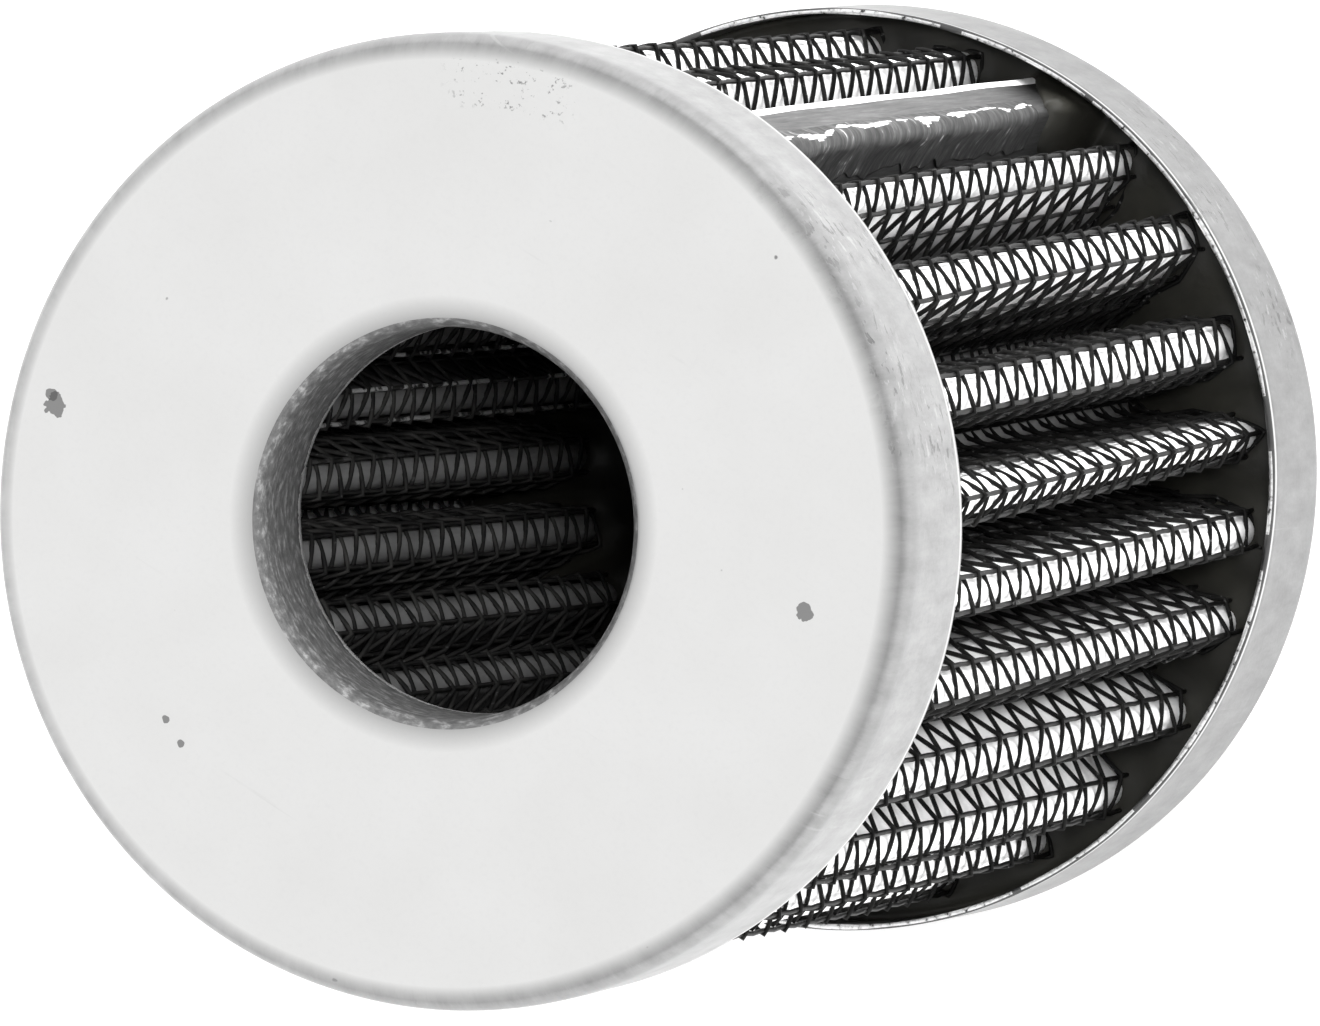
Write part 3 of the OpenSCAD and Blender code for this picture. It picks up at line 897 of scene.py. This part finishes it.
def sealant_piece():
    """A hand-laid bead along the near edge, smeared down the strip's side."""
    z0, z1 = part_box("seam_sealant")[0].z / MM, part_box("seam_sealant")[1].z / MM
    heights = np.linspace(z0 - 0.5, z1, 260)
    base = np.array(strip_outline(CLIP_IN + CLIP_T, CLIP_TOP, CLIP_BEND_R, CLIP_TOP - 1.9, 8))
    base = base[:-2]
    # The same outline again in even steps
    step = np.linalg.norm(np.diff(base, axis=0), axis=1)
    along = np.concatenate([[0], np.cumsum(step)])
    even = np.linspace(0, along[-1], 40)
    base = np.stack([np.interp(even, along, base[:, 0]), np.interp(even, along, base[:, 1])], -1)
    share = np.linspace(0, 1, len(base))
    thick = 0.05 + 0.25 * np.exp(-((share - 0.62) / 0.28) ** 2)
    lump = smooth_field(3, 14, 20)
    run = smooth_field(2, 30, 20)
    wander = smooth_field(2, 9, 12)
    normal = np.gradient(base, axis=0)
    normal = np.stack([-normal[:, 1], normal[:, 0]], -1)
    normal /= np.linalg.norm(normal, axis=1, keepdims=True)
    swell = 1 + 0.28 * lump(share[None] * 2, heights[:, None])
    fade = smoothstep((heights - heights[0]) / 2)[:, None]
    raise_by = thick[None] * np.maximum(swell, 0.0) * fade + 0.02
    skin = base[None] + normal[None] * raise_by[..., None]
    skin[..., 0] -= 0.35 * (1 - share[None]) ** 2 * (0.5 + 0.5 * run(0.0, heights[:, None]))
    under = np.broadcast_to(base[None, ::-1] - normal[None, ::-1] * 0.03, skin.shape)
    loop = np.concatenate([skin, under], 1)
    verts = to_pack(loop[..., 0], -loop[..., 1], np.broadcast_to(heights[:, None], loop.shape[:2]))
    count = loop.shape[1]
    index = np.arange(len(heights) * count).reshape(len(heights), count)
    a, b = index[:-1], index[1:]
    quads = np.stack([a, np.roll(a, -1, 1), np.roll(b, -1, 1), b], -1).reshape(-1, 4)
    faces = [quads, index[0][::-1][None], index[-1][None]]
    obj = mesh_object("seam_sealant_bead", verts.reshape(-1, 3), faces, sealant)
    obj.data.materials.append(sealant_line)
    # A white line wanders along the bead, counted in faces from the foot
    column = np.arange(len(quads)) % count
    row = np.arange(len(quads)) // count
    middle = 0.76 * len(base) + 1.3 * wander(0.3, heights)
    width = 1.0 + 0.8 * run(0.3, heights)
    paint_faces(obj, (np.abs(column - middle[row]) < width[row]) & (column < len(base)))
    return piece(obj, "sealant", "seam_sealant")


clip_piece()
sealant_piece()

# Floor, light and camera

FLOOR_HALF = 3000


def floor_paint():
    """Pale matt floor, a little self-lit so that it stays white to its edge."""
    material, tree, shader = new_material("pale_floor", Roughness=0.9, Specular_IOR_Level=0.1)
    tone = ramp(tree, noise(tree, place(tree), 0.01, 2.0), [(0.3, 0.9), (0.7, 0.93)])
    tree.links.new(tone, shader.inputs["Base Color"])
    shader.inputs["Emission Color"].default_value = (1, 1, 1, 1)
    shader.inputs["Emission Strength"].default_value = 0.15
    return material


corners = [(-FLOOR_HALF, -FLOOR_HALF, 0), (FLOOR_HALF, -FLOOR_HALF, 0), (FLOOR_HALF, FLOOR_HALF, 0),
           (-FLOOR_HALF, FLOOR_HALF, 0)]
floor = mesh_object("floor", corners, [[[0, 1, 2, 3]]], floor_paint())

world = bpy.data.worlds.new("soft_studio")
bpy.context.scene.world = world
world.use_nodes = True
world.node_tree.nodes["Background"].inputs["Color"].default_value = (1, 1, 1, 1)
world.node_tree.nodes["Background"].inputs["Strength"].default_value = 1.15

OFF_AXIS = math.radians(20.263)
AZIMUTH = math.radians(-140.964)
ROLL = math.radians(97.989)
AIM = Vector((-8.785, -5.980, LENGTH))
DISTANCE = 821.5
FOCAL_PX = 18000
WIDTH_PX = 1320

back = Vector((math.sin(OFF_AXIS) * math.cos(AZIMUTH), math.sin(OFF_AXIS) * math.sin(AZIMUTH),
               math.cos(OFF_AXIS)))
level_up = Vector((0, 0, 1)) - back * back.z
level_up.normalize()
level_right = level_up.cross(back)
up = level_up * math.cos(ROLL) + level_right * math.sin(ROLL)
right = up.cross(back)


def aim_matrix(right_axis, up_axis, back_axis, position):
    matrix = Matrix((right_axis, up_axis, back_axis)).transposed().to_4x4()
    matrix.translation = position * MM
    return matrix


camera = bpy.data.objects.new("camera", bpy.data.cameras.new("camera"))
bpy.context.scene.collection.objects.link(camera)
camera.data.sensor_width = 36
camera.data.lens = FOCAL_PX / WIDTH_PX * camera.data.sensor_width
camera.data.clip_start = 0.01
camera.data.clip_end = 20
camera.matrix_world = aim_matrix(right, up, back, AIM + back * DISTANCE)
bpy.context.scene.camera = camera


def soft_light(name, direction, distance, size, watts):
    """A square light that isn't mirrored in the metal; distance and size in millimetres."""
    data = bpy.data.lights.new(name, "AREA")
    data.shape = "SQUARE"
    data.size = size * MM
    data.energy = watts
    light = bpy.data.objects.new(name, data)
    light.visible_glossy = False
    bpy.context.scene.collection.objects.link(light)
    direction = direction.normalized()
    light.matrix_world = direction.to_track_quat("Z", "Y").to_matrix().to_4x4()
    light.matrix_world.translation = (Vector((0, 0, LENGTH / 2)) + direction * distance) * MM


soft_light("key", back * 0.6 + up * 0.7 + right * 0.2, 500, 300, 1.6)
soft_light("fill", back * 1.0 + up * 0.08 + right * 0.05, 800, 90, 3.0)
soft_light("above", back * 0.3 + up * 0.9 + right * 0.35, 600, 300, 3.5)
soft_light("below", back * 0.35 - up * 0.8 + right * 0.45, 600, 300, 2.5)

bpy.context.scene.view_settings.view_transform = "Standard"
